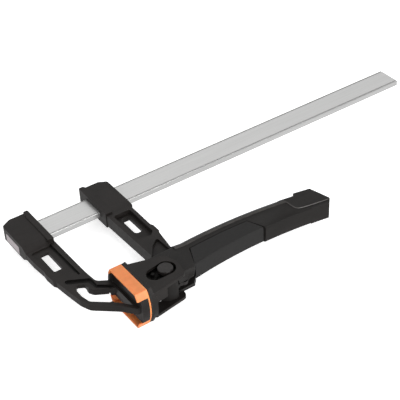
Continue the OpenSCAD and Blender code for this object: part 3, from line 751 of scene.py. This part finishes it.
class CLAMP_OT_lever(bpy.types.Operator):
    """Soften and colour the lever with its rims and knob, its grip and its release trigger"""

    bl_idname = "clamp.lever"
    bl_label = "Lever"

    def execute(self, context):
        edge = context.scene.clamp_sizes.moulding_edge
        nylon = moulded_nylon(context.scene.clamp_colours)
        # Paler finish for the rims and knob: partly wear, mostly painted highlight
        edge_wear_and_highlight = worn_and_highlit_nylon(context.scene.clamp_colours)
        painted_shade = painted_recess_shade(context.scene.clamp_colours)
        # The pivot recess's cut faces take painted shade
        cutters = cut_both_sides("recess_cutter", recess_outline(), RECESS, painted_shade)
        cutters += cut_both_sides("knob_cutter", KNOB_ROOM, (KNOB_FLOOR, KNOB_ABOVE), nylon)
        lever = softened("lever_body", "lever_moulding", edge, nylon, cutters=cutters)
        # The broad faces are concave, and would be cut into wrong triangles if they stayed whole
        edit_all(lever)
        bpy.ops.mesh.vert_connect_concave()
        bpy.ops.object.mode_set(mode="OBJECT")
        for side, upward in (("upper", 1), ("lower", -1)):
            rim = swept_rim(f"{side}_handle_rim", RIM_SECTION, upward)
            carry(rim, nylon, "lever_body", edge_wear_and_highlight)
            face = raised_face(f"{side}_knob_face", KNOB_FACE, KNOB_ROOT, KNOB_TOP, KNOB_EDGE, upward)
            carry(face, nylon, "lever_body", edge_wear_and_highlight)
        softened("release_trigger", "thumb_release", edge / 2, nylon)
        softened("grip_sleeve", "soft_panel", edge / 2, soft_grip(context.scene.clamp_colours))
        return {"FINISHED"}


class CLAMP_OT_shoe(bpy.types.Operator):
    """Soften and coat the pressure shoe, and add its guard and its facing's finish"""

    bl_idname = "clamp.shoe"
    bl_label = "Pressure shoe"

    def execute(self, context):
        edge = context.scene.clamp_sizes.shoe_edge
        coat = powder_coat(context.scene.clamp_colours)
        # Paler edge finish: partly wear, partly painted highlight
        edge_wear_and_highlight = worn_and_highlit_coat(context.scene.clamp_colours)
        softened("pressure_shoe", "shoe_casting", edge, coat, edge_wear_and_highlight)
        guard = prism("shoe_guard", GUARD, *GUARD_HEIGHT)
        make_active(guard)
        bpy.ops.object.modifier_apply(modifier=round_edges(guard, edge).name)
        carry(guard, coat, "pressure_shoe")
        dress("shoe_pad", facing(context.scene.clamp_colours))
        return {"FINISHED"}


class CLAMP_OT_steelwork(bpy.types.Operator):
    """Finish the pins, rivets, cams, ratchet, plates and springs"""

    bl_idname = "clamp.steelwork"
    bl_label = "Steelwork"

    def execute(self, context):
        colours = context.scene.clamp_colours
        oxide_and_shade = oxide_and_shade_steel(colours)
        # The inner parts here lie in shade inside the lever, and their black is partly painted shade
        for node in (
            "pivot_pin", "pivot_ring", "cam_plates", "pawl", "pawl_pin",
            "ratchet_segment", "segment_rivets", "wear_plate",
        ):
            dress(node, oxide_and_shade)
        # The cam rivets, which lie in shade under the slot, take painted shade
        dress("cam_rivets", painted_recess_shade(colours))
        ground = machined_steel(colours)
        for node in ("head_roll_pins", "bite_plates"):
            dress(node, ground)
        wire = spring_wire(colours)
        dress("brake_spring", wire)
        flexing("return_spring", "shoe_return_coil", wire)
        flexing("pawl_spring", "pawl_coil", wire)
        return {"FINISHED"}


class CLAMP_OT_label(bpy.types.Operator):
    """Add the blank label on the fixed head's end"""

    bl_idname = "clamp.label"
    bl_label = "Blank label"

    def execute(self, context):
        sizes = context.scene.clamp_sizes
        middle = (HEAD[0][0], LABEL_MIDDLE[0] * MM, LABEL_MIDDLE[1] * MM)
        deselect_all()
        bpy.ops.mesh.primitive_plane_add(size=1.0, location=middle, rotation=(0.0, -math.pi / 2, 0.0))
        label = bpy.context.object
        label.name = "blank_label"
        label.scale = (sizes.label_width, sizes.label_length, 1.0)
        apply_place(label)
        edit_all(label)
        bpy.ops.mesh.bevel(
            offset=sizes.label_corner,
            segments=LABEL_CORNER_STEPS,
            affect="VERTICES",
            offset_type="OFFSET",
        )
        bpy.ops.mesh.select_all(action="SELECT")
        bpy.ops.mesh.extrude_region_move(
            TRANSFORM_OT_translate={"value": (-sizes.label_thickness, 0.0, 0.0)}
        )
        face_outward()
        dress(label, label_paper(context.scene.clamp_colours))
        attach(label, "frame")
        return {"FINISHED"}


class CLAMP_OT_stage(bpy.types.Operator):
    """Set up the floor, the lamps, the surround and the camera"""

    bl_idname = "clamp.stage"
    bl_label = "Studio"

    def execute(self, context):
        self.make_floor(context.scene.clamp_studio)
        self.make_world(context.scene.clamp_studio)
        self.make_lamps()
        self.make_camera()
        context.scene.view_settings.view_transform = "Standard"
        return {"FINISHED"}

    def make_floor(self, studio):
        """A floor that looks white to the camera and in gloss, and keeps the clamp's shadow."""
        deselect_all()
        level = CAD_BOX[0][2] - FLOOR_GAP * MM
        bpy.ops.mesh.primitive_plane_add(size=FLOOR_SIZE, location=(*FLOOR_MIDDLE, level))
        floor = bpy.context.object
        floor.name = "studio_floor"
        apply_place(floor)
        material = bpy.data.materials.new("Studio floor")
        material.use_nodes = True
        tree = material.node_tree
        tree.nodes.clear()
        output = tree.nodes.new("ShaderNodeOutputMaterial")
        diffuse = tree.nodes.new("ShaderNodeBsdfDiffuse")
        diffuse.inputs["Color"].default_value = (studio.floor, studio.floor, studio.floor, 1.0)
        glow = tree.nodes.new("ShaderNodeEmission")
        glow.inputs["Strength"].default_value = studio.floor_glow
        lit = tree.nodes.new("ShaderNodeAddShader")
        tree.links.new(diffuse.outputs["BSDF"], lit.inputs[0])
        tree.links.new(glow.outputs["Emission"], lit.inputs[1])
        white = tree.nodes.new("ShaderNodeEmission")
        path = tree.nodes.new("ShaderNodeLightPath")
        seen = tree.nodes.new("ShaderNodeMixShader")
        tree.links.new(path.outputs["Is Camera Ray"], seen.inputs["Fac"])
        tree.links.new(diffuse.outputs["BSDF"], seen.inputs[1])
        tree.links.new(lit.outputs["Shader"], seen.inputs[2])
        mirrored = tree.nodes.new("ShaderNodeMixShader")
        tree.links.new(path.outputs["Is Glossy Ray"], mirrored.inputs["Fac"])
        tree.links.new(seen.outputs["Shader"], mirrored.inputs[1])
        tree.links.new(white.outputs["Emission"], mirrored.inputs[2])
        tree.links.new(mirrored.outputs["Shader"], output.inputs["Surface"])
        floor.data.materials.append(material)

    def make_world(self, studio):
        """A pale surround. The camera sees it white, and gloss sees it dark on the jaws' side."""
        world = bpy.context.scene.world or bpy.data.worlds.new("Studio")
        bpy.context.scene.world = world
        world.use_nodes = True
        tree = world.node_tree
        tree.nodes.clear()
        output = tree.nodes.new("ShaderNodeOutputWorld")
        light = tree.nodes.new("ShaderNodeBackground")
        light.inputs["Color"].default_value = (1.0, 1.0, 1.0, 1.0)
        light.inputs["Strength"].default_value = studio.surround
        white = tree.nodes.new("ShaderNodeBackground")
        white.inputs["Color"].default_value = (1.0, 1.0, 1.0, 1.0)
        path = tree.nodes.new("ShaderNodeLightPath")
        direction = tree.nodes.new("ShaderNodeSeparateXYZ")
        outward = tree.nodes.new("ShaderNodeTexCoord").outputs["Generated"]
        tree.links.new(outward, direction.inputs["Vector"])
        behind = tree.nodes.new("ShaderNodeMapRange")
        behind.inputs["From Min"].default_value = DARK_AT
        behind.inputs["From Max"].default_value = 0.0
        behind.inputs["To Min"].default_value = studio.dark_side
        tree.links.new(direction.outputs["Y"], behind.inputs["Value"])
        whiteness = tree.nodes.new("ShaderNodeMath")
        whiteness.operation = "MAXIMUM"
        tree.links.new(behind.outputs["Result"], whiteness.inputs[0])
        tree.links.new(path.outputs["Is Camera Ray"], whiteness.inputs[1])
        tree.links.new(whiteness.outputs["Value"], white.inputs["Strength"])
        direct = tree.nodes.new("ShaderNodeMath")
        direct.operation = "MAXIMUM"
        tree.links.new(path.outputs["Is Camera Ray"], direct.inputs[0])
        tree.links.new(path.outputs["Is Glossy Ray"], direct.inputs[1])
        mix = tree.nodes.new("ShaderNodeMixShader")
        tree.links.new(direct.outputs["Value"], mix.inputs["Fac"])
        tree.links.new(light.outputs["Background"], mix.inputs[1])
        tree.links.new(white.outputs["Background"], mix.inputs[2])
        tree.links.new(mix.outputs["Shader"], output.inputs["Surface"])

    def make_lamps(self):
        """Three soft lamps, aimed at the clamp."""
        for name, place, size, power, shine in LAMPS:
            bpy.ops.object.light_add(type="AREA", location=place)
            lamp = bpy.context.object
            lamp.name = name
            lamp.data.size = size
            lamp.data.energy = power
            lamp.data.specular_factor = shine
            aim = Vector(LAMP_TARGET) - Vector(place)
            lamp.rotation_euler = aim.to_track_quat("-Z", "Y").to_euler()

    def make_camera(self):
        """A long lens above the jaws' side."""
        back = Vector(
            (
                math.sin(CAMERA_AZIMUTH) * math.cos(CAMERA_ELEVATION),
                -math.cos(CAMERA_AZIMUTH) * math.cos(CAMERA_ELEVATION),
                math.sin(CAMERA_ELEVATION),
            )
        )
        level = Vector((math.cos(CAMERA_AZIMUTH), math.sin(CAMERA_AZIMUTH), 0.0))
        upward = back.cross(level)
        right = math.cos(CAMERA_ROLL) * level + math.sin(CAMERA_ROLL) * upward
        up = math.cos(CAMERA_ROLL) * upward - math.sin(CAMERA_ROLL) * level
        place = Vector(CAMERA_TARGET) - CAMERA_ASIDE * right - CAMERA_BELOW * up + CAMERA_DISTANCE * back
        bpy.ops.object.camera_add()
        camera = bpy.context.object
        camera.name = "studio_camera"
        turn = Matrix((right, up, back)).transposed().to_4x4()
        camera.matrix_world = Matrix.Translation(place) @ turn
        camera.data.sensor_width = CAMERA_SENSOR
        camera.data.lens = CAMERA_LENS
        camera.data.clip_start = 0.01
        camera.data.clip_end = 20.0
        bpy.context.scene.camera = camera


class CLAMP_PT_panel(bpy.types.Panel):
    """Steps and settings of the bar clamp"""

    bl_idname = "CLAMP_PT_panel"
    bl_label = "Bar clamp"
    bl_space_type = "VIEW_3D"
    bl_region_type = "UI"
    bl_category = "Bar clamp"

    def draw(self, context):
        column = self.layout.column()
        for step in STEPS:
            column.operator(step.bl_idname)
        scene = context.scene
        for group in (scene.clamp_sizes, scene.clamp_colours, scene.clamp_studio):
            for field in group.bl_rna.properties.keys():
                if field not in ("rna_type", "name"):
                    column.prop(group, field)


STEPS = (
    CLAMP_OT_bar,
    CLAMP_OT_castings,
    CLAMP_OT_cap,
    CLAMP_OT_lever,
    CLAMP_OT_shoe,
    CLAMP_OT_steelwork,
    CLAMP_OT_label,
    CLAMP_OT_stage,
)
GROUPS = (ClampSizes, ClampColours, StudioSettings)


def register():
    for group in GROUPS:
        bpy.utils.register_class(group)
    bpy.types.Scene.clamp_sizes = PointerProperty(type=ClampSizes)
    bpy.types.Scene.clamp_colours = PointerProperty(type=ClampColours)
    bpy.types.Scene.clamp_studio = PointerProperty(type=StudioSettings)
    for step in STEPS:
        bpy.utils.register_class(step)
    bpy.utils.register_class(CLAMP_PT_panel)


def unregister():
    bpy.utils.unregister_class(CLAMP_PT_panel)
    for step in reversed(STEPS):
        bpy.utils.unregister_class(step)
    del bpy.types.Scene.clamp_studio
    del bpy.types.Scene.clamp_colours
    del bpy.types.Scene.clamp_sizes
    for group in reversed(GROUPS):
        bpy.utils.unregister_class(group)


def main():
    """Make every piece in order."""
    register()
    for step in STEPS:
        area, name = step.bl_idname.split(".")
        getattr(getattr(bpy.ops, area), name)()


if __name__ == "__main__":
    main()
